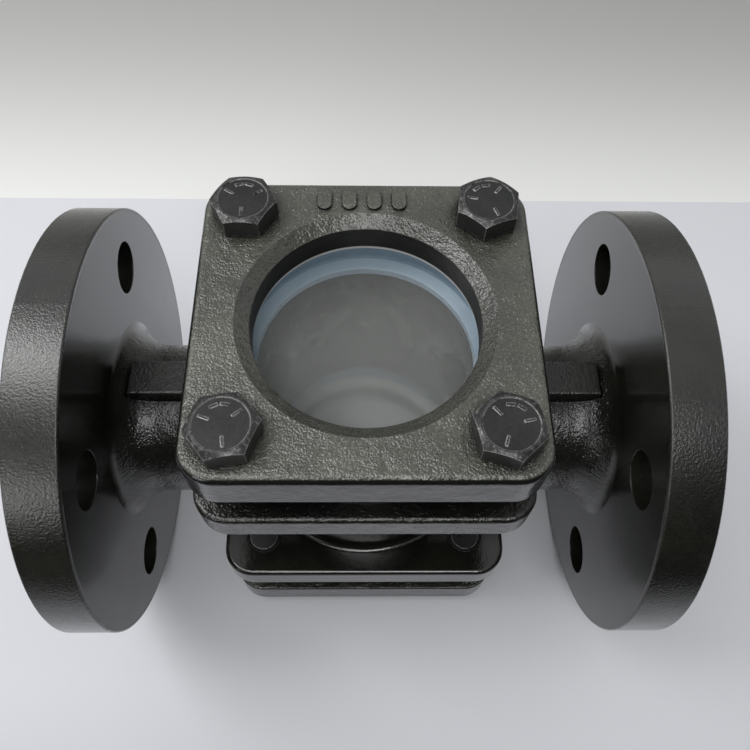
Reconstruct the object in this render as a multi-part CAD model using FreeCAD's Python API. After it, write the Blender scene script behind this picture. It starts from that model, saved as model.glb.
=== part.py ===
import FreeCAD, Part
import math
import os

# Flanged sight glass with two windows, DN 40 PN 40. All sizes are millimetres.
# X runs along the pipe, Z runs through both windows, and the origin is where the two axes cross.
# The upper window's pieces are drawn, and the lower ones are the same pieces turned over about X.

# Pipe flanges
FACE_TO_FACE = 200.0
FLANGE_DIAMETER = 150.0
FLANGE_THICKNESS = 16.0
FLANGE_CHAMFER = 0.4
RAISED_FACE_DIAMETER = 88.0
RAISED_FACE_HEIGHT = 1.0
BOLT_CIRCLE = 110.0
FLANGE_HOLE_DIAMETER = 18.0
FLANGE_HOLE_COUNT = 4
BORE_DIAMETER = 40.0
SERRATION_PITCH = 1.5
SERRATION_DEPTH = 0.25
SERRATION_INNER_RADIUS = 22.5
SERRATION_COUNT = 13

# Necks between the pipe flanges and the barrel
NECK_RADIUS = 26.5
HUB_RADIUS = 35.0
HUB_BLEND_RADIUS = 14.0
BARREL_END_RADIUS = 33.0
BARREL_END_X = 38.0
BARREL_BLEND_X = 52.0
RIB_WIDTH = 12.4
RIB_HEIGHT = 31.4
RIB_END_X = 78.0
RIB_EDGE_RADIUS = 0.9

# Barrel and square window flanges of the body
BARREL_RADIUS = 41.5
BARREL_FILLET = 2.5
CHAMBER_RADIUS = 34.5
WINDOW_FLANGE_WIDTH = 103.5
WINDOW_FLANGE_BOTTOM = 25.0
WINDOW_FLANGE_TOP = 38.0
CORNER_RADIUS = 10.5
CASTING_EDGE_RADIUS = 1.6
COLLAR_RADIUS = 46.0
COLLAR_TOP = 50.0
COLLAR_EDGE_CHAMFER = 0.8

# The stack in each window, from the seat in the body outwards
SEAT_HEIGHT = 33.7
GLASS_DIAMETER = 80.0
GLASS_THICKNESS = 20.0
GLASS_CHAMFER = 0.8
SEAL_THICKNESS = 2.5
SEAL_INNER_RADIUS = 34.6
CUSHION_THICKNESS = 1.5
CUSHION_INNER_RADIUS = 34.5
GLASS_POCKET_RADIUS = 40.5

# Square covers
COVER_WIDTH = 101.6
COVER_BOTTOM = 53.0
COVER_THICKNESS = 16.0
COVER_TOP_EDGE_RADIUS = 2.4
COVER_LOWER_EDGE_RADIUS = 0.8
WINDOW_RADIUS = 34.1
WINDOW_MOUTH_RADIUS = 38.3
WINDOW_MOUTH_DEPTH = 2.9
MARK_WIDTH = 4.6
MARK_LENGTH = 8.2
MARK_HEIGHT = 1.0
MARK_EDGE_RADIUS = 0.3
MARK_COUNT = 4
MARK_SPACING = 7.8
MARK_ROW_START_X = -13.0
MARK_ROW_Y = 43.2

# M12 x 45 hexagon set screws, four in each cover
BOLT_SPACING = 75.0
BOLT_LENGTH = 45.0
BOLT_CLEARANCE_RADIUS = 6.75
TAPPED_HOLE_RADIUS = 6.0
THREAD_RADIUS = 5.9
THREAD_ROOT_RADIUS = 5.05
THREAD_PITCH = 1.75
THREAD_END_CHAMFER = 0.9
HEAD_SIDES = 6
HEAD_ACROSS_FLATS = 18.0
HEAD_HEIGHT = 7.5
HEAD_FACE_RADIUS = 8.1
HEAD_LIP_WIDTH = 0.35
HEAD_LIP_HEIGHT = 0.2
HEAD_CHAMFER_ANGLE = 30.0
WASHER_FACE_RADIUS = 8.6
WASHER_FACE_HEIGHT = 0.4

# Blank raised marks on each head, as (length outwards, width): radial dashes and crosswise bars
DASH_SIZE = (3.0, 0.7)
DASH_RADIUS = 5.0
DASH_ANGLES = (30.0, 150.0, 270.0)
BAR_SIZE = (0.9, 2.4)
BAR_RADIUS = 5.6
BAR_ANGLES = (74.0, 106.0)

# How far each hexagon head stopped turning when it was tightened, in degrees
TOP_HEAD_ANGLES = {"rear_left": -1.5, "rear_right": 22.0, "front_left": 9.0, "front_right": -18.0}
BOTTOM_HEAD_ANGLES = {"rear_left": 14.0, "rear_right": -7.0, "front_left": 25.0, "front_right": 3.0}

FLANGE_OUTER_X = FACE_TO_FACE / 2 - RAISED_FACE_HEIGHT
FLANGE_INNER_X = FLANGE_OUTER_X - FLANGE_THICKNESS
GLASS_BOTTOM = SEAT_HEIGHT + SEAL_THICKNESS
GLASS_TOP = GLASS_BOTTOM + GLASS_THICKNESS
CUSHION_TOP = GLASS_TOP + CUSHION_THICKNESS
COVER_TOP = COVER_BOTTOM + COVER_THICKNESS

ORIGIN = FreeCAD.Vector(0, 0, 0)
ALONG_X = FreeCAD.Vector(1, 0, 0)
ALONG_Z = FreeCAD.Vector(0, 0, 1)
FULL_TURN = 360.0
HALF_TURN = FULL_TURN / 2
TOLERANCE = 1e-6


def point_about_z(radius, height):
    return FreeCAD.Vector(radius, 0, height)


def point_about_x(radius, distance):
    return FreeCAD.Vector(distance, 0, radius)


def revolve(edges, axis):
    """Turn a closed outline through a full circle about an axis through the origin."""
    face = Part.Face(Part.Wire(edges))
    return face.revolve(ORIGIN, axis, FULL_TURN)


def polyline(points):
    """Straight edges from each point to the next, left open at the end."""
    return [Part.makeLine(start, end) for start, end in zip(points, points[1:])]


def revolve_outline(points, axis):
    return revolve(polyline(points + points[:1]), axis)


def cylinder_along_z(radius, bottom, top, x=0.0, y=0.0):
    return Part.makeCylinder(radius, top - bottom, FreeCAD.Vector(x, y, bottom), ALONG_Z)


def rounded_square(width, bottom, top):
    """A square plate with rounded upright corners, centred on Z."""
    half = width / 2
    plate = Part.makeBox(width, width, top - bottom, FreeCAD.Vector(-half, -half, bottom))
    upright = [edge for edge in plate.Edges if is_upright(edge)]
    return plate.makeFillet(CORNER_RADIUS, upright)


def is_upright(edge):
    box = edge.BoundBox
    return box.ZLength > max(box.XLength, box.YLength)


def edges_at_height(shape, height):
    """Edges that lie flat at one height."""
    return [edge for edge in shape.Edges
            if max(abs(edge.BoundBox.ZMin - height), abs(edge.BoundBox.ZMax - height)) < TOLERANCE]


def turned_over(shape):
    """The same piece for the lower window: half a turn about the pipe axis."""
    copy = shape.copy()
    copy.rotate(ORIGIN, ALONG_X, HALF_TURN)
    return copy


def bolt_places():
    """Corner name and position of the four bolts of one window."""
    half = BOLT_SPACING / 2
    for row, y in (("rear", half), ("front", -half)):
        for side, x in (("left", -half), ("right", half)):
            yield row + "_" + side, x, y


def arc_through(start, middle, end):
    return Part.Arc(start, middle, end).toShape()


# ---------------------------------------------------------------- body

def raised_face_points():
    """The serrated raised face, from its rim inwards, as points of the half outline."""
    face_x = FACE_TO_FACE / 2
    points = [point_about_x(RAISED_FACE_DIAMETER / 2, FLANGE_OUTER_X),
              point_about_x(RAISED_FACE_DIAMETER / 2, face_x)]
    for groove in reversed(range(SERRATION_COUNT)):
        radius = SERRATION_INNER_RADIUS + groove * SERRATION_PITCH
        points.append(point_about_x(radius + SERRATION_PITCH / 2, face_x))
        points.append(point_about_x(radius + SERRATION_PITCH / 4, face_x - SERRATION_DEPTH))
        points.append(point_about_x(radius, face_x))
    return points


def hub_blend():
    """Cast hollow between the neck and the machined back of the pipe flange."""
    centre_radius = NECK_RADIUS + HUB_BLEND_RADIUS
    reach = math.sqrt(HUB_BLEND_RADIUS ** 2 - (centre_radius - HUB_RADIUS) ** 2)
    start_x = FLANGE_INNER_X - reach
    angle = math.asin(reach / HUB_BLEND_RADIUS) / 2
    middle = point_about_x(centre_radius - HUB_BLEND_RADIUS * math.cos(angle),
                           start_x + HUB_BLEND_RADIUS * math.sin(angle))
    start = point_about_x(NECK_RADIUS, start_x)
    return start, arc_through(start, middle, point_about_x(HUB_RADIUS, FLANGE_INNER_X))


def barrel_blend():
    """Cast hollow where the neck widens into the barrel."""
    run = BARREL_BLEND_X - BARREL_END_X
    rise = BARREL_END_RADIUS - NECK_RADIUS
    blend_radius = (run ** 2 + rise ** 2) / (2 * rise)
    angle = math.asin(run / blend_radius) / 2
    start = point_about_x(BARREL_END_RADIUS, BARREL_END_X)
    end = point_about_x(NECK_RADIUS, BARREL_BLEND_X)
    middle = point_about_x(NECK_RADIUS + blend_radius * (1 - math.cos(angle)),
                           BARREL_BLEND_X - blend_radius * math.sin(angle))
    return end, arc_through(start, middle, end)


def pipe_end():
    """One neck with its pipe flange, solid, on the +X side."""
    rim = FLANGE_DIAMETER / 2
    inner, outer = FLANGE_INNER_X, FLANGE_OUTER_X
    neck_start, barrel_arc = barrel_blend()
    neck_end, hub_arc = hub_blend()
    flange = [point_about_x(HUB_RADIUS, inner),
              point_about_x(rim - FLANGE_CHAMFER, inner),
              point_about_x(rim, inner + FLANGE_CHAMFER),
              point_about_x(rim, outer - FLANGE_CHAMFER),
              point_about_x(rim - FLANGE_CHAMFER, outer)]
    axis_end = point_about_x(0, FACE_TO_FACE / 2)
    opening = polyline([ORIGIN, point_about_x(BARREL_END_RADIUS, 0),
                        point_about_x(BARREL_END_RADIUS, BARREL_END_X)])
    neck = [barrel_arc] + polyline([neck_start, neck_end]) + [hub_arc]
    closing = polyline(flange + raised_face_points() + [axis_end, ORIGIN])
    return revolve(opening + neck + closing, ALONG_X)


def rib():
    """Flat-topped rib along the top of one neck, on the +X side."""
    start_x = BARREL_END_X
    block = Part.makeBox(RIB_END_X - start_x, RIB_WIDTH, RIB_HEIGHT,
                         FreeCAD.Vector(start_x, -RIB_WIDTH / 2, 0))
    long_edges = [edge for edge in edges_at_height(block, RIB_HEIGHT)
                  if edge.BoundBox.XLength > RIB_WIDTH]
    return block.makeFillet(RIB_EDGE_RADIUS, long_edges)


def barrel():
    """Round barrel with a hollow where it meets each square window flange."""
    top = WINDOW_FLANGE_BOTTOM
    fillet_start = top - BARREL_FILLET
    fillet_radius = BARREL_RADIUS + BARREL_FILLET
    inset = BARREL_FILLET * (1 - math.cos(math.radians(45)))
    upper_arc = arc_through(point_about_z(BARREL_RADIUS, fillet_start),
                            point_about_z(BARREL_RADIUS + inset, top - inset),
                            point_about_z(fillet_radius, top))
    lower_arc = arc_through(point_about_z(fillet_radius, -top),
                            point_about_z(BARREL_RADIUS + inset, inset - top),
                            point_about_z(BARREL_RADIUS, -fillet_start))
    wall = polyline([point_about_z(BARREL_RADIUS, -fillet_start),
                     point_about_z(BARREL_RADIUS, fillet_start)])
    upper_end = polyline([point_about_z(fillet_radius, top), point_about_z(0, top)])
    lower_end = polyline([point_about_z(0, -top), point_about_z(fillet_radius, -top)])
    axis = polyline([point_about_z(0, top), point_about_z(0, -top)])
    return revolve(lower_end + [lower_arc] + wall + [upper_arc] + upper_end + axis, ALONG_Z)


def window_flange():
    """Square flange of the body for the upper window, with the collar round the glass."""
    plate = rounded_square(WINDOW_FLANGE_WIDTH, WINDOW_FLANGE_BOTTOM, WINDOW_FLANGE_TOP)
    rims = edges_at_height(plate, WINDOW_FLANGE_BOTTOM) + edges_at_height(plate, WINDOW_FLANGE_TOP)
    plate = plate.makeFillet(CASTING_EDGE_RADIUS, rims)
    collar = cylinder_along_z(COLLAR_RADIUS, WINDOW_FLANGE_BOTTOM, COLLAR_TOP)
    collar = collar.makeChamfer(COLLAR_EDGE_CHAMFER, edges_at_height(collar, COLLAR_TOP))
    return plate.fuse(collar)


def flange_bolt_holes():
    """The four through holes in both pipe flanges, off the centre lines."""
    holes = []
    for number in range(FLANGE_HOLE_COUNT):
        angle = math.radians(FULL_TURN / FLANGE_HOLE_COUNT * (number + 0.5))
        y = BOLT_CIRCLE / 2 * math.cos(angle)
        z = BOLT_CIRCLE / 2 * math.sin(angle)
        for end_x in (-FACE_TO_FACE / 2, FLANGE_INNER_X - RAISED_FACE_HEIGHT):
            length = FLANGE_THICKNESS + 2 * RAISED_FACE_HEIGHT
            start = FreeCAD.Vector(end_x, y, z)
            holes.append(Part.makeCylinder(FLANGE_HOLE_DIAMETER / 2, length, start, ALONG_X))
    return holes


def tapped_holes():
    """Holes for the window bolts, right through both square flanges."""
    length = WINDOW_FLANGE_TOP
    return [cylinder_along_z(TAPPED_HOLE_RADIUS, -length, length, x, y) for _, x, y in bolt_places()]


def body():
    right_end = pipe_end().multiFuse([rib(), turned_over(rib())])
    left_end = right_end.copy()
    left_end.rotate(ORIGIN, ALONG_Z, HALF_TURN)
    upper_flange = window_flange()
    solid = barrel().multiFuse([right_end, left_end, upper_flange, turned_over(upper_flange)])
    pocket = cylinder_along_z(GLASS_POCKET_RADIUS, SEAT_HEIGHT, COLLAR_TOP)
    chamber = cylinder_along_z(CHAMBER_RADIUS, -SEAT_HEIGHT, SEAT_HEIGHT)
    bore = Part.makeCylinder(BORE_DIAMETER / 2, FACE_TO_FACE,
                             FreeCAD.Vector(-FACE_TO_FACE / 2, 0, 0), ALONG_X)
    hollows = [pocket, turned_over(pocket), chamber, bore]
    solid = solid.cut(hollows + flange_bolt_holes() + tapped_holes())
    return solid.removeSplitter()


# ---------------------------------------------------------------- window pieces

def window_opening():
    """Round window of the cover: sloped mouth, straight throat and the pocket for the glass."""
    mouth_bottom = COVER_TOP - WINDOW_MOUTH_DEPTH
    return revolve_outline([point_about_z(0, COVER_BOTTOM),
                            point_about_z(GLASS_POCKET_RADIUS, COVER_BOTTOM),
                            point_about_z(GLASS_POCKET_RADIUS, CUSHION_TOP),
                            point_about_z(WINDOW_RADIUS, CUSHION_TOP),
                            point_about_z(WINDOW_RADIUS, mouth_bottom),
                            point_about_z(WINDOW_MOUTH_RADIUS, COVER_TOP),
                            point_about_z(0, COVER_TOP)], ALONG_Z)


def raised_mark(x):
    """Blank raised pad with round ends, standing on the cover's outer face."""
    radius = MARK_WIDTH / 2
    reach = MARK_LENGTH / 2 - radius
    base = COVER_TOP - MARK_HEIGHT
    crown = COVER_TOP + MARK_HEIGHT
    middle = Part.makeBox(MARK_WIDTH, 2 * reach, crown - base,
                          FreeCAD.Vector(x - radius, MARK_ROW_Y - reach, base))
    ends = [cylinder_along_z(radius, base, crown, x, MARK_ROW_Y + side) for side in (-reach, reach)]
    pad = middle.multiFuse(ends).removeSplitter()
    return pad.makeFillet(MARK_EDGE_RADIUS, edges_at_height(pad, crown))


def cover():
    plate = rounded_square(COVER_WIDTH, COVER_BOTTOM, COVER_TOP)
    plate = plate.makeFillet(COVER_TOP_EDGE_RADIUS, edges_at_height(plate, COVER_TOP))
    plate = plate.makeFillet(COVER_LOWER_EDGE_RADIUS, edges_at_height(plate, COVER_BOTTOM))
    holes = [cylinder_along_z(BOLT_CLEARANCE_RADIUS, COVER_BOTTOM, COVER_TOP, x, y)
             for _, x, y in bolt_places()]
    marks = [raised_mark(MARK_ROW_START_X + MARK_SPACING * number) for number in range(MARK_COUNT)]
    return plate.cut(holes + [window_opening()]).multiFuse(marks).removeSplitter()


def flat_ring(inner_radius, outer_radius, bottom, top):
    return cylinder_along_z(outer_radius, bottom, top).cut(cylinder_along_z(inner_radius, bottom, top))


def glass():
    disc = cylinder_along_z(GLASS_DIAMETER / 2, GLASS_BOTTOM, GLASS_TOP)
    rims = edges_at_height(disc, GLASS_BOTTOM) + edges_at_height(disc, GLASS_TOP)
    return disc.makeChamfer(GLASS_CHAMFER, rims)


def window_pieces():
    outer = GLASS_DIAMETER / 2
    return {"cover": cover(),
            "glass": glass(),
            "seal_gasket": flat_ring(SEAL_INNER_RADIUS, outer, SEAT_HEIGHT, GLASS_BOTTOM),
            "cushion_gasket": flat_ring(CUSHION_INNER_RADIUS, outer, GLASS_TOP, CUSHION_TOP)}


# ---------------------------------------------------------------- bolts

def bolt_head():
    """Hexagon with a chamfered, slightly dished crown and a washer face, on the plane z = 0."""
    step = math.radians(FULL_TURN / HEAD_SIDES)
    corner_radius = HEAD_ACROSS_FLATS / 2 / math.cos(step / 2)
    corners = [FreeCAD.Vector(corner_radius * math.cos(step * number),
                              corner_radius * math.sin(step * number),
                              WASHER_FACE_HEIGHT) for number in range(HEAD_SIDES)]
    outline = Part.makePolygon(corners + corners[:1])
    prism = Part.Face(outline).extrude(ALONG_Z * (HEAD_HEIGHT - WASHER_FACE_HEIGHT))
    drop = (corner_radius - HEAD_FACE_RADIUS) * math.tan(math.radians(HEAD_CHAMFER_ANGLE))
    dish_radius = HEAD_FACE_RADIUS - HEAD_LIP_WIDTH - HEAD_LIP_HEIGHT
    crown = revolve_outline([point_about_z(0, 0),
                             point_about_z(corner_radius, 0),
                             point_about_z(corner_radius, HEAD_HEIGHT - drop),
                             point_about_z(HEAD_FACE_RADIUS, HEAD_HEIGHT),
                             point_about_z(HEAD_FACE_RADIUS - HEAD_LIP_WIDTH, HEAD_HEIGHT),
                             point_about_z(dish_radius, HEAD_HEIGHT - HEAD_LIP_HEIGHT),
                             point_about_z(0, HEAD_HEIGHT - HEAD_LIP_HEIGHT)], ALONG_Z)
    washer_face = cylinder_along_z(WASHER_FACE_RADIUS, 0, WASHER_FACE_HEIGHT)
    return prism.common(crown).fuse(washer_face)


def raised_marks(size, radius, angles):
    """Blank marks on the dished top of the head, level with its lip."""
    length, width = size
    base = HEAD_HEIGHT - 2 * HEAD_LIP_HEIGHT
    marks = []
    for angle in angles:
        mark = Part.makeBox(length, width, HEAD_HEIGHT - base,
                            FreeCAD.Vector(radius - length / 2, -width / 2, base))
        mark.rotate(ORIGIN, ALONG_Z, angle)
        marks.append(mark)
    return marks


def threaded_shank():
    """Thread as rings of the true pitch and depth, from the head down to a chamfered end."""
    tip_radius = THREAD_RADIUS - THREAD_END_CHAMFER
    ring_count = int((BOLT_LENGTH - THREAD_END_CHAMFER) / THREAD_PITCH)
    points = [point_about_z(0, -BOLT_LENGTH), point_about_z(tip_radius, -BOLT_LENGTH)]
    for number in reversed(range(ring_count)):
        crest = -(number + 1) * THREAD_PITCH
        points.append(point_about_z(THREAD_RADIUS, crest))
        points.append(point_about_z(THREAD_ROOT_RADIUS, crest + THREAD_PITCH / 2))
    points += [point_about_z(THREAD_RADIUS, 0), point_about_z(0, 0)]
    return revolve_outline(points, ALONG_Z)


def bolt():
    marks = raised_marks(DASH_SIZE, DASH_RADIUS, DASH_ANGLES)
    marks += raised_marks(BAR_SIZE, BAR_RADIUS, BAR_ANGLES)
    return bolt_head().multiFuse([threaded_shank()] + marks).removeSplitter()


def window_bolts(head_angles):
    """Four bolts in place over the upper window, by the name of their corner."""
    pattern = bolt()
    bolts = {}
    for corner, x, y in bolt_places():
        piece = pattern.copy()
        piece.rotate(ORIGIN, ALONG_Z, head_angles[corner])
        piece.translate(FreeCAD.Vector(x, y, COVER_TOP))
        bolts[corner] = piece
    return bolts


# ---------------------------------------------------------------- assembly

# Turning a window over about X swaps its front and rear corners.
OPPOSITE_ROW = {"rear_left": "front_left", "front_left": "rear_left",
                "rear_right": "front_right", "front_right": "rear_right"}


def assembly():
    nodes = {"body": body()}
    for name, shape in window_pieces().items():
        nodes["top_" + name] = shape
        nodes["bottom_" + name] = turned_over(shape)
    for corner, shape in window_bolts(TOP_HEAD_ANGLES).items():
        nodes["top_bolt_" + corner] = shape
    for corner, shape in window_bolts(BOTTOM_HEAD_ANGLES).items():
        nodes["bottom_bolt_" + OPPOSITE_ROW[corner]] = turned_over(shape)
    return nodes


os.makedirs("parts", exist_ok=True)
for node, shape in assembly().items():
    print(node, "solids", len(shape.Solids), "valid", shape.isValid(), "mm3", round(shape.Volume))
    shape.exportStep(os.path.join("parts", node + ".step"))
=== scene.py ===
import math

import bmesh
import bpy
from mathutils import Matrix, Vector


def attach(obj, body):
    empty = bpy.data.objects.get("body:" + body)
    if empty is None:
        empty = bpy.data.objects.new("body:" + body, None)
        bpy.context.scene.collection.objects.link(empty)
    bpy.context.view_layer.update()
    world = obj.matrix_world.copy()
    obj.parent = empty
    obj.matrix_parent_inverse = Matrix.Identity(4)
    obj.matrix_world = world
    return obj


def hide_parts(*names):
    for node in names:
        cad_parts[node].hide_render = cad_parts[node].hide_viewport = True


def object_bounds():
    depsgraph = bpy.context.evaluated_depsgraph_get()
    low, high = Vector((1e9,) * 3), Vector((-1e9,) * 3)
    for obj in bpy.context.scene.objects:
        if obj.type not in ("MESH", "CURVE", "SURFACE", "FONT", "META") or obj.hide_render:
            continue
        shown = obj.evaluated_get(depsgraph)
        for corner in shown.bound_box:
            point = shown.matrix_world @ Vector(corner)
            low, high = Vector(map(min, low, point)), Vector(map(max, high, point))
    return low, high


# Looks, light and camera for the flanged sight glass. All lengths are metres, in the part's frame:
# X along the pipe, Z through both windows, the origin where the two axes cross.

MM = 0.001


def grey(value, yellow=0.0):
    """Grey, with that share of its blue taken out."""
    return (value, value, value * (1 - yellow), 1.0)


# Camera: its place, its angles in degrees, and its lens and sensor in millimetres
CAMERA_PLACE = (-0.0016, -0.1187, 0.2541)
CAMERA_PITCH = -61.75
CAMERA_YAW = 2.29
CAMERA_ROLL = 2.12
CAMERA_LENS = 36.39
SENSOR_WIDTH = 36.0
CAMERA_NEAR_CLIP = 0.01

# Stage: paper under the part, a backdrop that rises behind it and a black card in front
FLOOR_REACH = 1.6
FLOOR_BACK_EDGE = 0.171
PAPER_TONE = (0.7, 0.705, 0.745, 1.0)
SWEEP_RADIUS = 0.36
SWEEP_STEPS = 24
SWEEP_DROP = 0.2 * MM
# Painted shade on the backdrop, from pale by the paper's edge to grey further up
BACKDROP_SHADE_FADE = (FLOOR_BACK_EDGE - 0.051, FLOOR_BACK_EDGE + 0.17)
BACKDROP_SHADE_TONES = ((0.88, 0.88, 0.865, 1.0), (0.39, 0.39, 0.38, 1.0))
CARD_PLACE_Y = -0.2
CARD_WIDTH = 1.2
CARD_HEIGHT = 0.16
CARD_TONE = grey(0.02)

# Softboxes: (width, height), place and radiance
STRIP_LAMP = ((1.7, 0.22), (-0.25, -0.22, 1.1), 5.2)
FRONT_LAMP = ((0.45, 0.2), (0.04, -0.64, 0.86), 5.8)
LEFT_LAMP = ((0.5, 0.5), (-0.8, 0.1, 0.95), 5.2)
SIDE_WINDOW = ((0.5, 0.5), (-0.75, -1.0, 0.45), 3.6)

# Surroundings: tones, and the directions between which one gives way to the next
CEILING_TONE = (0.56, 0.58, 0.57, 1.0)
BACK_WALL_TONE = (0.77, 0.78, 0.79, 1.0)
FRONT_WALL_TONE = (0.04, 0.04, 0.045, 1.0)
SEEN_WALL_TONE = (0.62, 0.62, 0.61, 1.0)
FRONT_TO_BACK = (-0.5, 0.4)
WALL_TO_CEILING = (0.5, 0.97)

# Places in the part that change its finish
FLANGE_BACK = 83 * MM
FLANGE_FACE = 99 * MM
FLANGE_RADIUS = 75 * MM
CHAMBER_RADIUS = 34.5 * MM
BORE_RADIUS = 20 * MM
SEAT_HEIGHT = 33.7 * MM
THROAT_RADIUS = 34.1 * MM

# Limits of the inner zones, just past the walls of chamber, bore and throat and just under the seat
CHAMBER_LIMIT = CHAMBER_RADIUS + 0.2 * MM
BORE_LIMIT = BORE_RADIUS + 0.1 * MM
SEAT_LIMIT = SEAT_HEIGHT - 0.02 * MM
THROAT_LIMIT = THROAT_RADIUS + 0.2 * MM

# Where a smooth change from one finish to the next starts and ends
CAST_TO_TURNED = (FLANGE_BACK - 3.5 * MM, FLANGE_BACK - 0.05 * MM)
PAINT_TO_BARE = (FLANGE_FACE + 0.2 * MM, FLANGE_FACE + 0.4 * MM)
FACE_TO_RIM = (FLANGE_RADIUS - 1.4 * MM, FLANGE_RADIUS - 0.9 * MM)
THIN_TO_THICK_PAINT = (-5 * MM, -20 * MM)
# From few to many painted glints on the cover's crests, from back to front
FEW_TO_MANY_GLINTS = (40 * MM, -40 * MM)

# The same for the slope of a face, which is 1 where it is level and 0 where it is upright
LEVEL_TO_UPRIGHT = (0.91, 0.7)
WALL_TO_CHAMFER = (0.72, 0.8)
TOP_TO_CHAMFER = (0.96, 0.92)

# Sharp edges, by how far the normal turns there, and sheltered corners, by how little sky they see. The
# paint in sheltered corners gets painted shade: a darker tone and less gloss.
SOFT_SAMPLES = 6
EDGE_TURN = (0.02, 0.22)
SKY_SHARE = (0.3, 0.9)
SHADE_REACH = 28 * MM
PAINTED_SHADE_TONE = grey(0.003)
PAINTED_SHADE_GLOSS = 0.1

# Cast skin: the size of each unevenness and its share of the height
GRAIN = 0.68 * MM
GRAIN_SHARE = 0.3
LUMP = 1.5 * MM
LUMP_SHARE = 0.5
WAVE = 9 * MM
WAVE_SHARE = 0.9
PIT_SPACING = 2.6 * MM
PIT_SHARE = 0.14
PIT_WALL = (0.06, 0.2)
GRAIN_PATCH = 5 * MM
GRAIN_LIMITS = (0.35, 0.65)
LEAST_GRAIN = 0.35

# Paint: slow clouds and fast specks of tone, under a clear gloss
CLOUD = 22 * MM
CLOUD_SHARE = 0.65
SPECK = 0.8 * MM
SPECK_SHARE = 0.35
TONE_LIMITS = (0.36, 0.66)
PAINT_IOR = 1.5
COAT_WEIGHT = 0.5
COAT_POLISH = 0.55

# In the finishes below, two tones, roughnesses or glosses are the ends of a range, and a _WEAR is a
# worn edge's width, the size of the patches it is worn in, and the noise values that bound them.

# Body
BODY_TONES = (grey(0.006, 0.15), grey(0.016, 0.25))
BODY_INSIDE_TONES = (grey(0.045, 0.03), grey(0.09, 0.03))
BODY_BARE_TONES = (grey(0.20, 0.05), grey(0.34, 0.02))
BODY_BARE_ROUGHNESS = 0.34
BODY_WORN_TONE = grey(0.14, 0.12)
BODY_WEAR = (0.5 * MM, 3 * MM, (0.45, 0.62))
BODY_WEAR_SHARE = 0.2
BODY_ROUNDING = 0.5 * MM
BODY_RELIEF = 0.45 * MM
BODY_GLOSS = 0.55
BODY_SMUDGE = 14 * MM
CAST_ROUGHNESS = (0.18, 0.36)
TURNED_ROUGHNESS = (0.1, 0.28)
THICK_PAINT_ROUGHNESS = 0.12
THICK_PAINT_RELIEF = 0.15
FACE_MARKS = 0.5 * MM
FACE_MARKS_SHARE = 0.012
RIM_MARKS = 0.7 * MM
RIM_MARKS_SHARE = 0.3

# Covers
COVER_TONES = (grey(0.036, 0.22), grey(0.08, 0.22))
COVER_SIDE_SHADE_TONE = grey(0.008)
COVER_WORN_TONE = grey(0.2, 0.12)
COVER_WEAR = (0.6 * MM, 2.4 * MM, (0.42, 0.6))
COVER_WEAR_SHARE = 0.25
COVER_ROUNDING = 0.5 * MM
COVER_RELIEF = 0.8 * MM
COVER_GLOSS = (0.6, 0.3)
COVER_SMUDGE = 12 * MM
COVER_ROUGHNESS = (0.16, 0.28)
THROAT_ROUGHNESS = 0.5
SIDE_WAVE = 6 * MM
SIDE_WAVE_SHARE = 0.5
SIDE_GRAIN = 0.7 * MM
SIDE_GRAIN_SHARE = 0.1
# Painted highlight: grey specks on the crests of the cover's grain stand in for glints, in cells of that
# size
GLINT_CELL = 0.6 * MM
GLINT_LIMITS = (0.58, 0.72)
GLINT_SHARE = (0.15, 0.55)
GLINT_TONE = grey(0.2, 0.15)

# Screws
BOLT_TONES = (grey(0.017), grey(0.032, 0.02))
OXIDE_METALLIC = 0.35
OXIDE_IOR = 1.5
BOLT_ROUGHNESS = (0.2, 0.42)
BOLT_SMUDGE = 5 * MM
BOLT_ROUNDING = 0.25 * MM
BOLT_RELIEF = 0.3 * MM
BOLT_WORN_HIGHLIGHT_TONE = grey(0.6, 0.03)
BOLT_WEAR = (0.5 * MM, 1.6 * MM, (0.32, 0.52))
BOLT_WEAR_SHARE = 0.9
SCRATCH = 0.5 * MM
SCRATCH_SHARE = 0.05
DENT = 3 * MM
DENT_SHARE = 0.3
RUBBED_PATCH = 1.1 * MM
RUBBED_LIMITS = (0.5, 0.68)
RUBBED_HIGHLIGHT_TONE = grey(0.3, 0.03)
RUBBED_SHARE = 0.45

# Rings: tones and roughness
# The seal's tones are bluish and darker than its white: painted shade for its place under the cover
SEAL_SHADED_TONES = ((0.22, 0.29, 0.36, 1.0), (0.3, 0.38, 0.46, 1.0))
SEAL_ROUGHNESS = 0.4
CUSHION_TONES = (grey(0.5), grey(0.65))
CUSHION_ROUGHNESS = 0.7
RING_CLOUD = 2.5 * MM
RING_SPECK = 0.4 * MM
RING_RELIEF = 0.05 * MM

# Glass discs: they stand clear of the rings and the pocket by a hair
GLASS_RADIUS = 39.95 * MM
GLASS_LOW = 36.24 * MM
GLASS_HIGH = 56.16 * MM
GLASS_CHAMFER = 0.8 * MM
GLASS_SHARP_ANGLE = 30
LATHE_STEPS = 192
WELD_REACH = 0.001 * MM
FACE_MARGIN = 0.05 * MM
GLASS_TONE = (0.95, 0.96, 0.95, 1.0)
GLASS_IOR = 1.5
GLASS_SMEAR = 16 * MM
CLEAR_ROUGHNESS = (0.0, 0.03)
HAZED_ROUGHNESS = (0.12, 0.18)
HAZE_TONE = (0.6, 0.6, 0.58, 1.0)
HAZE_SHARE = 0.13
FROST_TONES = ((0.15, 0.21, 0.27, 1.0), (0.2, 0.27, 0.33, 1.0))
FROST_CLOUD = 3 * MM
GLASS_SHADOW_TINT = (0.82, 0.83, 0.83, 1.0)

# Paper and card
PAPER_CLOUD = 0.12
PAPER_SHADE = 0.96
PAPER_GRAIN = 0.6 * MM
PAPER_RELIEF = 0.02 * MM
PAPER_ROUGHNESS = 0.85
PAPER_GLOSS = 0.25
BACKDROP_GLOSS = 0.2


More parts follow.
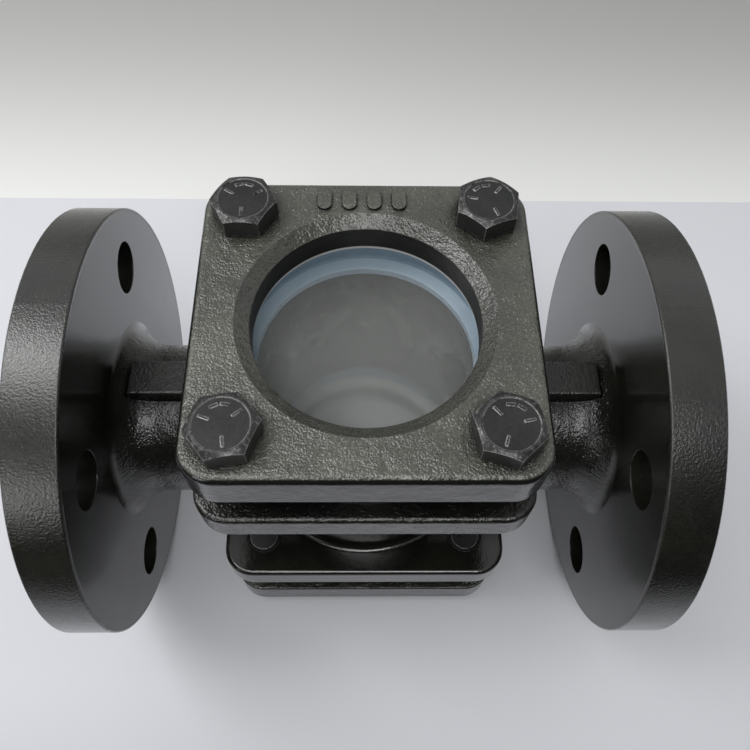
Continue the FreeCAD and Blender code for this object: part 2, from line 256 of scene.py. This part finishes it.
class Graph:
    """Short calls for building the node tree of one material or world."""

    def __init__(self, owner):
        owner.use_nodes = True
        self.tree = owner.node_tree
        self.tree.nodes.clear()

    def node(self, kind, inputs=None, **settings):
        node = self.tree.nodes.new(kind)
        for key, value in settings.items():
            setattr(node, key, value)
        for key, value in (inputs or {}).items():
            self.feed(node.inputs[key], value)
        return node

    def feed(self, socket, value):
        if isinstance(value, bpy.types.NodeSocket):
            self.tree.links.new(value, socket)
        else:
            socket.default_value = value

    def calc(self, operation, first, second=0.0):
        node = self.node("ShaderNodeMath", {0: first, 1: second}, operation=operation)
        return node.outputs[0]

    def total(self, *parts):
        """Sum of values, each times its share."""
        terms = [self.calc("MULTIPLY", value, share) for value, share in parts]
        result = terms[0]
        for term in terms[1:]:
            result = self.calc("ADD", result, term)
        return result

    def rise(self, value, start, end):
        """0 up to the start, 1 past the end and a smooth step between. Either may be the higher."""
        node = self.node("ShaderNodeMapRange", {"Value": value, "From Min": start, "From Max": end},
                         interpolation_type="SMOOTHSTEP")
        return node.outputs["Result"]

    def scale_to(self, value, low, high):
        """A 0 to 1 value stretched to run from low to high."""
        node = self.node("ShaderNodeMapRange", {"Value": value, "To Min": low, "To Max": high})
        return node.outputs["Result"]

    def blend(self, share, first, second):
        """Number between two numbers."""
        node = self.node("ShaderNodeMix", {"Factor": share, "A": first, "B": second})
        return node.outputs["Result"]

    def tint(self, share, first, second):
        """Colour between two colours. The mix node's colour sockets follow its other ones."""
        node = self.node("ShaderNodeMix", data_type="RGBA")
        self.feed(node.inputs[0], share)
        self.feed(node.inputs[6], first)
        self.feed(node.inputs[7], second)
        return node.outputs[2]

    def noise(self, place, cell, detail=3.0, roughness=0.55, distortion=0.0):
        """Noise with cells of about that many metres."""
        node = self.node("ShaderNodeTexNoise", {"Vector": place, "Scale": 1 / cell, "Detail": detail,
                                                "Roughness": roughness, "Distortion": distortion})
        return node.outputs["Fac"]

    def patches(self, place, cell, limits, **noise):
        """Scattered patches of 1 in a field of 0. Lower limits make them larger."""
        return self.rise(self.noise(place, cell, **noise), *limits)

    def cells(self, place, cell):
        """Distance to the nearest of many scattered points, in cells."""
        node = self.node("ShaderNodeTexVoronoi", {"Vector": place, "Scale": 1 / cell})
        return node.outputs["Distance"]

    def bump(self, height, depth, normal=None):
        node = self.node("ShaderNodeBump", {"Height": height, "Distance": depth, "Strength": 1.0})
        if normal is not None:
            self.feed(node.inputs["Normal"], normal)
        return node.outputs["Normal"]

    def place(self):
        return self.node("ShaderNodeTexCoord").outputs["Object"]

    def split(self, vector):
        """The three parts of a vector."""
        return self.node("ShaderNodeSeparateXYZ", {0: vector}).outputs[0:3]

    def radius(self, first, second):
        return self.calc("SQRT", self.total((first, first), (second, second)))

    def face_normal(self):
        return self.node("ShaderNodeNewGeometry").outputs["Normal"]

    def rounded(self, width):
        """Surface normal with every sharp edge softened over that width."""
        return self.node("ShaderNodeBevel", {"Radius": width}, samples=SOFT_SAMPLES).outputs["Normal"]

    def edges(self, width):
        """1 along sharp edges, 0 elsewhere."""
        same = self.node("ShaderNodeVectorMath", {0: self.rounded(width), 1: self.face_normal()},
                         operation="DOT_PRODUCT").outputs["Value"]
        return self.rise(self.calc("SUBTRACT", 1.0, same), *EDGE_TURN)

    def worn_edges(self, place, width, patch, limits):
        """1 where a sharp edge is worn, which is in patches along it."""
        return self.calc("MULTIPLY", self.edges(width), self.patches(place, patch, limits))

    def level(self):
        """1 on flat tops and undersides, 0 on upright walls."""
        return self.calc("ABSOLUTE", self.split(self.face_normal())[2])

    def painted_shade_mask(self, reach):
        """Mask for painted shade: 0 in the open, rising to 1 in corners and gaps narrower than that
        reach.
        """
        sky = self.node("ShaderNodeAmbientOcclusion", {"Distance": reach}, samples=SOFT_SAMPLES)
        return self.calc("SUBTRACT", 1.0, self.rise(sky.outputs["AO"], *SKY_SHARE))

    def principled(self, inputs):
        return self.node("ShaderNodeBsdfPrincipled", inputs).outputs["BSDF"]

    def diffuse(self, colour):
        return self.node("ShaderNodeBsdfDiffuse", {"Color": colour}).outputs["BSDF"]

    def mix_shaders(self, share, first, second):
        return self.node("ShaderNodeMixShader", {0: share, 1: first, 2: second}).outputs[0]

    def surface(self, shader):
        output = self.node("ShaderNodeOutputMaterial")
        self.feed(output.inputs["Surface"], shader)


def new_material(name):
    material = bpy.data.materials.new(name)
    return material, Graph(material)


def cast_height(graph, place):
    """Sand-cast skin: sharp fine grains, coarser lumps, broad waves and scattered pits."""
    grain = graph.calc("SUBTRACT", 1.0, graph.cells(place, GRAIN))
    patches = graph.patches(place, GRAIN_PATCH, GRAIN_LIMITS, detail=2.0)
    grain = graph.calc("MULTIPLY", grain, graph.scale_to(patches, LEAST_GRAIN, 1.0))
    lumps = graph.noise(place, LUMP, roughness=0.6)
    waves = graph.noise(place, WAVE, detail=2.0)
    pits = graph.rise(graph.cells(place, PIT_SPACING), *PIT_WALL)
    return graph.total((grain, GRAIN_SHARE), (lumps, LUMP_SHARE), (waves, WAVE_SHARE), (pits, PIT_SHARE))


def paint_tone(graph, place, dark, light):
    """Slow and fast changes in the tone of thin black paint."""
    clouds = graph.noise(place, CLOUD, detail=4.0, roughness=0.6)
    specks = graph.noise(place, SPECK, detail=2.0)
    share = graph.total((clouds, CLOUD_SHARE), (specks, SPECK_SHARE))
    return graph.tint(graph.rise(share, *TONE_LIMITS), dark, light)


def smudged(graph, place, cell, low, high):
    """Roughness that changes slowly, as handling leaves it."""
    return graph.scale_to(graph.noise(place, cell, detail=5.0, roughness=0.65), low, high)


def painted_metal(graph, colour, roughness, normal, gloss, painted_shade):
    """Glossy black paint. Sheltered corners get painted shade: a dull black tone, less gloss and no
    coat.
    """
    return graph.principled({
        "Base Color": graph.tint(painted_shade, colour, PAINTED_SHADE_TONE), "Roughness": roughness, "Normal": normal,
        "IOR": PAINT_IOR, "Specular IOR Level": graph.blend(painted_shade, gloss, PAINTED_SHADE_GLOSS),
        "Coat Weight": graph.scale_to(painted_shade, COAT_WEIGHT, 0.0), "Coat Normal": normal,
        "Coat Roughness": graph.calc("MULTIPLY", roughness, COAT_POLISH)})


def turning_marks(graph, distance, pitch):
    """Fine ridges left by a lathe tool, spaced along a distance."""
    return graph.calc("SINE", graph.calc("MULTIPLY", distance, 2 * math.pi / pitch))


class BodyZones:
    """Zones of the body with a finish of their own, each 1 within and 0 elsewhere.

    from_pipe is the distance from the pipe's axis.
    """

    def __init__(self, graph, place):
        x, y, z = graph.split(place)
        along = graph.calc("ABSOLUTE", x)
        upward = graph.calc("ABSOLUTE", z)
        self.from_pipe = graph.radius(y, z)
        in_chamber = graph.calc("LESS_THAN", graph.radius(x, y), CHAMBER_LIMIT)
        below_seat = graph.calc("LESS_THAN", upward, SEAT_LIMIT)
        in_bore = graph.calc("LESS_THAN", self.from_pipe, BORE_LIMIT)
        self.inside = graph.calc("MAXIMUM", graph.calc("MULTIPLY", in_chamber, below_seat), in_bore)
        self.turned = graph.rise(along, *CAST_TO_TURNED)
        self.bare = graph.rise(along, *PAINT_TO_BARE)
        self.rim = graph.rise(self.from_pipe, *FACE_TO_RIM)
        self.thick_paint = graph.rise(z, *THIN_TO_THICK_PAINT)


def body_normal(graph, place, zones):
    """Cast skin, filled by thick paint and left out inside, and tool marks on the flanges."""
    face_marks = turning_marks(graph, zones.from_pipe, FACE_MARKS)
    rim_marks = graph.noise(place, RIM_MARKS)
    turned_height = graph.blend(zones.rim, graph.calc("MULTIPLY", face_marks, FACE_MARKS_SHARE),
                                graph.calc("MULTIPLY", rim_marks, RIM_MARKS_SHARE))
    filled = graph.scale_to(zones.thick_paint, 1.0, THICK_PAINT_RELIEF)
    skin = graph.calc("MULTIPLY", cast_height(graph, place), graph.blend(zones.inside, filled, 0.0))
    height = graph.blend(zones.turned, skin, turned_height)
    return graph.bump(height, BODY_RELIEF, graph.rounded(BODY_ROUNDING))


def body_colour(graph, place, zones):
    """Black paint worn on the edges, a grey inside and bare metal on the sealing faces."""
    paint = paint_tone(graph, place, *BODY_TONES)
    worn = graph.calc("MULTIPLY", graph.worn_edges(place, *BODY_WEAR), BODY_WEAR_SHARE)
    colour = graph.tint(worn, paint, BODY_WORN_TONE)
    inner = graph.tint(graph.noise(place, CLOUD), *BODY_INSIDE_TONES)
    colour = graph.tint(zones.inside, colour, inner)
    return graph.tint(zones.bare, colour, paint_tone(graph, place, *BODY_BARE_TONES))


def body_roughness(graph, place, zones):
    """Thick paint is the smoothest, then the turned faces, then cast skin and the flanges' rims."""
    cast = graph.blend(zones.thick_paint, smudged(graph, place, BODY_SMUDGE, *CAST_ROUGHNESS),
                       THICK_PAINT_ROUGHNESS)
    smooth = smudged(graph, place, BODY_SMUDGE, *TURNED_ROUGHNESS)
    return graph.blend(zones.turned, cast, graph.blend(zones.rim, smooth, cast))


def body_finish():
    """Black paint over rough casting, turned flanges, a grey inside and bare sealing faces."""
    material, graph = new_material("painted_casting")
    place = graph.place()
    zones = BodyZones(graph, place)
    normal = body_normal(graph, place, zones)
    colour = body_colour(graph, place, zones)
    roughness = body_roughness(graph, place, zones)
    # Painted shade: sheltered corners of the cast parts are painted darker and duller
    painted_shade = graph.calc("MULTIPLY", graph.painted_shade_mask(SHADE_REACH), graph.calc("SUBTRACT", 1.0, zones.turned))
    paint = painted_metal(graph, colour, roughness, normal, BODY_GLOSS, painted_shade)
    metal = graph.principled({"Base Color": colour, "Metallic": 1.0, "Normal": normal,
                              "Roughness": BODY_BARE_ROUGHNESS})
    graph.surface(graph.mix_shaders(zones.bare, paint, metal))
    return material


def cover_normal(graph, place, upright):
    """Cast skin on the level faces and a smoother one on the upright sides."""
    smooth_height = graph.total((graph.noise(place, SIDE_WAVE), SIDE_WAVE_SHARE),
                                (graph.noise(place, SIDE_GRAIN), SIDE_GRAIN_SHARE))
    height = graph.blend(upright, cast_height(graph, place), smooth_height)
    return graph.bump(height, COVER_RELIEF, graph.rounded(COVER_ROUNDING))


def cover_colour(graph, place, upright):
    """Paint with painted glints, grey specks on the crests of the grain, more so towards the front,
    upright sides painted darker as painted shade, and rubbed grey on the edges.
    """
    paint = paint_tone(graph, place, *COVER_TONES)
    frontward = graph.rise(graph.split(place)[1], *FEW_TO_MANY_GLINTS)
    painted_glints = graph.calc("MULTIPLY", graph.patches(place, GLINT_CELL, GLINT_LIMITS, detail=1.0),
                        graph.scale_to(frontward, *GLINT_SHARE))
    paint = graph.tint(painted_glints, paint, GLINT_TONE)
    # Painted shade: the upright sides are painted darker than the top
    paint = graph.tint(upright, paint, COVER_SIDE_SHADE_TONE)
    worn = graph.calc("MULTIPLY", graph.worn_edges(place, *COVER_WEAR), COVER_WEAR_SHARE)
    return graph.tint(worn, paint, COVER_WORN_TONE)


def cover_finish():
    """Black paint on a rough sand casting, smoother on the upright sides and dull in the throat."""
    material, graph = new_material("painted_cover")
    place = graph.place()
    x, y, _ = graph.split(place)
    upright = graph.rise(graph.level(), *LEVEL_TO_UPRIGHT)
    throat = graph.calc("LESS_THAN", graph.radius(x, y), THROAT_LIMIT)
    roughness = graph.blend(throat, smudged(graph, place, COVER_SMUDGE, *COVER_ROUGHNESS),
                            THROAT_ROUGHNESS)
    # Its last argument gives painted shade in the cover's sheltered corners
    graph.surface(painted_metal(graph, cover_colour(graph, place, upright), roughness,
                                cover_normal(graph, place, upright),
                                graph.scale_to(upright, *COVER_GLOSS), graph.painted_shade_mask(SHADE_REACH)))
    return material


def bolt_colour(graph, place):
    """Black oxide, rubbed in patches on the head's chamfer, with steel showing on worn edges; both are
    real wear and painted highlight.
    """
    tone = paint_tone(graph, place, *BOLT_TONES)
    level = graph.level()
    chamfer = graph.calc("MULTIPLY", graph.rise(level, *WALL_TO_CHAMFER),
                         graph.rise(level, *TOP_TO_CHAMFER))
    patches = graph.patches(place, RUBBED_PATCH, RUBBED_LIMITS, detail=4.0, roughness=0.7)
    # Rubbed chamfer: real wear, lightened also as painted highlight
    rubbed_and_highlight = graph.calc("MULTIPLY", graph.calc("MULTIPLY", chamfer, patches), RUBBED_SHARE)
    tone = graph.tint(rubbed_and_highlight, tone, RUBBED_HIGHLIGHT_TONE)
    # Worn edges: real wear, lightened also as painted highlight
    worn = graph.calc("MULTIPLY", graph.worn_edges(place, *BOLT_WEAR), BOLT_WEAR_SHARE)
    return graph.tint(worn, tone, BOLT_WORN_HIGHLIGHT_TONE)


def bolt_finish():
    """Black oxide, smooth and satin, with fine scratches and shallow dents."""
    material, graph = new_material("black_bolt")
    place = graph.place()
    scratches = graph.noise(place, SCRATCH, distortion=1.5)
    dents = graph.noise(place, DENT, detail=2.0)
    height = graph.total((scratches, SCRATCH_SHARE), (dents, DENT_SHARE))
    smudges = graph.noise(place, BOLT_SMUDGE, detail=5.0, roughness=0.7)
    graph.surface(graph.principled({
        "Base Color": bolt_colour(graph, place), "Metallic": OXIDE_METALLIC, "IOR": OXIDE_IOR,
        "Roughness": graph.scale_to(smudges, *BOLT_ROUGHNESS),
        "Normal": graph.bump(height, BOLT_RELIEF, graph.rounded(BOLT_ROUNDING))}))
    return material


def ring_finish(name, dark, light, roughness):
    """Matt sealing ring with fine speckle."""
    material, graph = new_material(name)
    place = graph.place()
    graph.surface(graph.principled({
        "Base Color": graph.tint(graph.noise(place, RING_CLOUD, detail=4.0), dark, light),
        "Roughness": roughness,
        "Normal": graph.bump(graph.noise(place, RING_SPECK, detail=2.0), RING_RELIEF)}))
    return material


def glass_finish():
    """Thick glass: clear outer face, hazed inner face and frosted edge. Its shadow is pale."""
    material, graph = new_material("window_glass")
    place = graph.place()
    x, y, z = graph.split(place)
    inner_face = graph.calc("LESS_THAN", graph.calc("ABSOLUTE", z), GLASS_LOW + FACE_MARGIN)
    ground_edge = graph.calc("GREATER_THAN", graph.radius(x, y), GLASS_RADIUS - GLASS_CHAMFER)
    smears = graph.noise(place, GLASS_SMEAR, detail=5.0, roughness=0.6)
    roughness = graph.blend(inner_face, graph.scale_to(smears, *CLEAR_ROUGHNESS),
                            graph.scale_to(smears, *HAZED_ROUGHNESS))
    clear = graph.principled({"Base Color": GLASS_TONE, "Roughness": roughness, "IOR": GLASS_IOR,
                              "Transmission Weight": 1.0})
    haze = graph.calc("MULTIPLY", inner_face, HAZE_SHARE)
    glass = graph.mix_shaders(haze, clear, graph.diffuse(HAZE_TONE))
    frost = graph.tint(graph.noise(place, FROST_CLOUD), *FROST_TONES)
    glass = graph.mix_shaders(ground_edge, glass, graph.diffuse(frost))
    open_way = graph.node("ShaderNodeBsdfTransparent", {"Color": GLASS_SHADOW_TINT}).outputs["BSDF"]
    shadow = graph.node("ShaderNodeLightPath").outputs["Is Shadow Ray"]
    graph.surface(graph.mix_shaders(shadow, glass, open_way))
    return material


def paper_finish(name, tone):
    """Matt paper or card with a faint grain."""
    material, graph = new_material(name)
    place = graph.place()
    shade = graph.noise(place, PAPER_CLOUD, detail=2.0)
    graph.surface(graph.principled({
        "Base Color": graph.tint(shade, [c * PAPER_SHADE for c in tone[:3]] + [1.0], tone),
        "Roughness": PAPER_ROUGHNESS, "Specular IOR Level": PAPER_GLOSS,
        "Normal": graph.bump(graph.noise(place, PAPER_GRAIN, detail=2.0), PAPER_RELIEF)}))
    return material


def backdrop_finish():
    """Pale backdrop with painted shade: white by the paper's edge and greyer further up."""
    material, graph = new_material("stage_backdrop")
    backdrop_shade = graph.rise(graph.split(graph.place())[1], *BACKDROP_SHADE_FADE)
    graph.surface(graph.principled({
        "Base Color": graph.tint(backdrop_shade, *BACKDROP_SHADE_TONES), "Roughness": PAPER_ROUGHNESS,
        "Specular IOR Level": BACKDROP_GLOSS}))
    return material


def link(piece):
    """Put an object in the scene."""
    bpy.context.scene.collection.objects.link(piece)
    return piece


def mesh_object(name, points, faces, material, smooth=False):
    """Object with a mesh of those points and faces."""
    mesh = bpy.data.meshes.new(name)
    mesh.from_pydata(points, [], faces)
    mesh.polygons.foreach_set("use_smooth", [smooth] * len(mesh.polygons))
    mesh.materials.append(material)
    return link(bpy.data.objects.new(name, mesh))


def glass_disc(name, side, material):
    """Ground disc with chamfered rims, above the pipe (side 1) or below it (side -1)."""
    profile = [(0.0, GLASS_LOW), (GLASS_RADIUS - GLASS_CHAMFER, GLASS_LOW),
               (GLASS_RADIUS, GLASS_LOW + GLASS_CHAMFER), (GLASS_RADIUS, GLASS_HIGH - GLASS_CHAMFER),
               (GLASS_RADIUS - GLASS_CHAMFER, GLASS_HIGH), (0.0, GLASS_HIGH)]
    mesh = bpy.data.meshes.new(name)
    shape = bmesh.new()
    points = [shape.verts.new((radius, 0.0, side * height)) for radius, height in profile]
    edges = [shape.edges.new(pair) for pair in zip(points, points[1:])]
    bmesh.ops.spin(shape, geom=points + edges, axis=(0, 0, 1), cent=(0, 0, 0),
                   steps=LATHE_STEPS, angle=2 * math.pi)
    bmesh.ops.remove_doubles(shape, verts=shape.verts, dist=WELD_REACH)
    bmesh.ops.recalc_face_normals(shape, faces=shape.faces)
    shape.to_mesh(mesh)
    shape.free()
    mesh.materials.append(material)
    mesh.polygons.foreach_set("use_smooth", [True] * len(mesh.polygons))
    mesh.set_sharp_from_angle(angle=math.radians(GLASS_SHARP_ANGLE))
    return link(bpy.data.objects.new(name, mesh))


def dress(node, material):
    """Give a CAD node one material on all its faces."""
    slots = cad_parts[node].data.materials
    slots.clear()
    slots.append(material)


def dress_part():
    """Finish every CAD node, and stand a finer disc in for each of the two glasses."""
    dress("body", body_finish())
    cover = cover_finish()
    bolt = bolt_finish()
    glass = glass_finish()
    seal = ring_finish("white_seal", *SEAL_SHADED_TONES, SEAL_ROUGHNESS)
    cushion = ring_finish("grey_cushion", *CUSHION_TONES, CUSHION_ROUGHNESS)
    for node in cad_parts:
        if "_bolt_" in node:
            dress(node, bolt)
    for window, side in (("top", 1), ("bottom", -1)):
        dress(window + "_cover", cover)
        dress(window + "_seal_gasket", seal)
        dress(window + "_cushion_gasket", cushion)
        disc = glass_disc(window + "_glass_disc", side, glass)
        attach(disc, "root")
        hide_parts(window + "_glass")


def add_floor(height):
    """Sheet of paper under the part."""
    corners = [(-FLOOR_REACH, -FLOOR_REACH, height), (FLOOR_REACH, -FLOOR_REACH, height),
               (FLOOR_REACH, FLOOR_BACK_EDGE, height), (-FLOOR_REACH, FLOOR_BACK_EDGE, height)]
    mesh_object("stage_floor", corners, [(0, 1, 2, 3)], paper_finish("stage_paper", PAPER_TONE))


def add_sweep(height):
    """Backdrop that starts a hair under the paper's back edge and curves up behind it."""
    points = []
    for step in range(SWEEP_STEPS + 1):
        angle = math.pi / 2 * step / SWEEP_STEPS
        y = FLOOR_BACK_EDGE + SWEEP_RADIUS * math.sin(angle)
        z = height - SWEEP_DROP + SWEEP_RADIUS * (1 - math.cos(angle))
        points += [(-FLOOR_REACH, y, z), (FLOOR_REACH, y, z)]
    faces = [(2 * row, 2 * row + 1, 2 * row + 3, 2 * row + 2) for row in range(SWEEP_STEPS)]
    mesh_object("stage_sweep", points, faces, backdrop_finish(), smooth=True)


def add_card(height):
    """Black card in front of the part, out of view, that darkens its low reflections."""
    half = CARD_WIDTH / 2
    low, high = height + MM, height + CARD_HEIGHT
    corners = [(-half, CARD_PLACE_Y, low), (half, CARD_PLACE_Y, low),
               (half, CARD_PLACE_Y, high), (-half, CARD_PLACE_Y, high)]
    card = mesh_object("stage_flag", corners, [(0, 1, 2, 3)], paper_finish("stage_black", CARD_TONE))
    card.visible_camera = False


def build_world():
    """Studio surroundings: a bright ceiling, a pale wall behind and a dark room in front.

    Seen directly, they are one plain pale grey.
    """
    world = bpy.data.worlds.new("studio")
    bpy.context.scene.world = world
    graph = Graph(world)
    _, back, up = graph.split(graph.node("ShaderNodeTexCoord").outputs["Generated"])
    wall = graph.tint(graph.rise(back, *FRONT_TO_BACK), FRONT_WALL_TONE, BACK_WALL_TONE)
    tone = graph.tint(graph.rise(up, *WALL_TO_CEILING), wall, CEILING_TONE)
    seen = graph.node("ShaderNodeLightPath").outputs["Is Camera Ray"]
    tone = graph.tint(seen, tone, SEEN_WALL_TONE)
    background = graph.node("ShaderNodeBackground", {"Color": tone})
    output = graph.node("ShaderNodeOutputWorld")
    graph.feed(output.inputs["Surface"], background.outputs[0])


def aim(thing, target):
    """Turn an object's -Z towards a point."""
    direction = Vector(target) - thing.location
    thing.rotation_euler = direction.to_track_quat("-Z", "Y").to_euler()


def add_softbox(name, size, place, radiance):
    """Rectangular lamp that shines on the origin."""
    lamp = bpy.data.lights.new(name, "AREA")
    lamp.shape = "RECTANGLE"
    lamp.size, lamp.size_y = size
    lamp.energy = radiance * math.pi * size[0] * size[1]
    holder = bpy.data.objects.new(name, lamp)
    holder.location = place
    aim(holder, (0, 0, 0))
    link(holder)


def add_camera():
    """Camera that looks along +Y, turned by its yaw (to the right), pitch (up) and roll."""
    pitch, yaw, roll = (math.radians(a) for a in (CAMERA_PITCH, CAMERA_YAW, CAMERA_ROLL))
    forward = Vector((math.sin(yaw) * math.cos(pitch), math.cos(yaw) * math.cos(pitch), math.sin(pitch)))
    level = Vector((math.cos(yaw), -math.sin(yaw), 0.0))
    upright = level.cross(forward)
    right = level * math.cos(roll) + upright * math.sin(roll)
    up = upright * math.cos(roll) - level * math.sin(roll)
    lens = bpy.data.cameras.new("camera")
    lens.lens = CAMERA_LENS
    lens.sensor_width = SENSOR_WIDTH
    lens.clip_start = CAMERA_NEAR_CLIP
    camera = link(bpy.data.objects.new("camera", lens))
    turn = Matrix((right, up, -forward)).transposed().to_4x4()
    camera.matrix_world = Matrix.Translation(CAMERA_PLACE) @ turn
    bpy.context.scene.camera = camera


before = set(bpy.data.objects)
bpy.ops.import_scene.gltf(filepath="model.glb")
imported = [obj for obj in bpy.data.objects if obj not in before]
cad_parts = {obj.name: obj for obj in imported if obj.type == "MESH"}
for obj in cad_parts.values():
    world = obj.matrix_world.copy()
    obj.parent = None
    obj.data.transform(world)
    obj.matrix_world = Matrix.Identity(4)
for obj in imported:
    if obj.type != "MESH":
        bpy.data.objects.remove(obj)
cad_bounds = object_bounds()
floor_height = cad_bounds[0][2]
bpy.context.scene.view_settings.view_transform = "Standard"
dress_part()
add_floor(floor_height)
add_sweep(floor_height)
add_card(floor_height)
build_world()
add_softbox("strip_lamp", *STRIP_LAMP)
add_softbox("front_lamp", *FRONT_LAMP)
add_softbox("left_lamp", *LEFT_LAMP)
add_softbox("side_window", *SIDE_WINDOW)
add_camera()
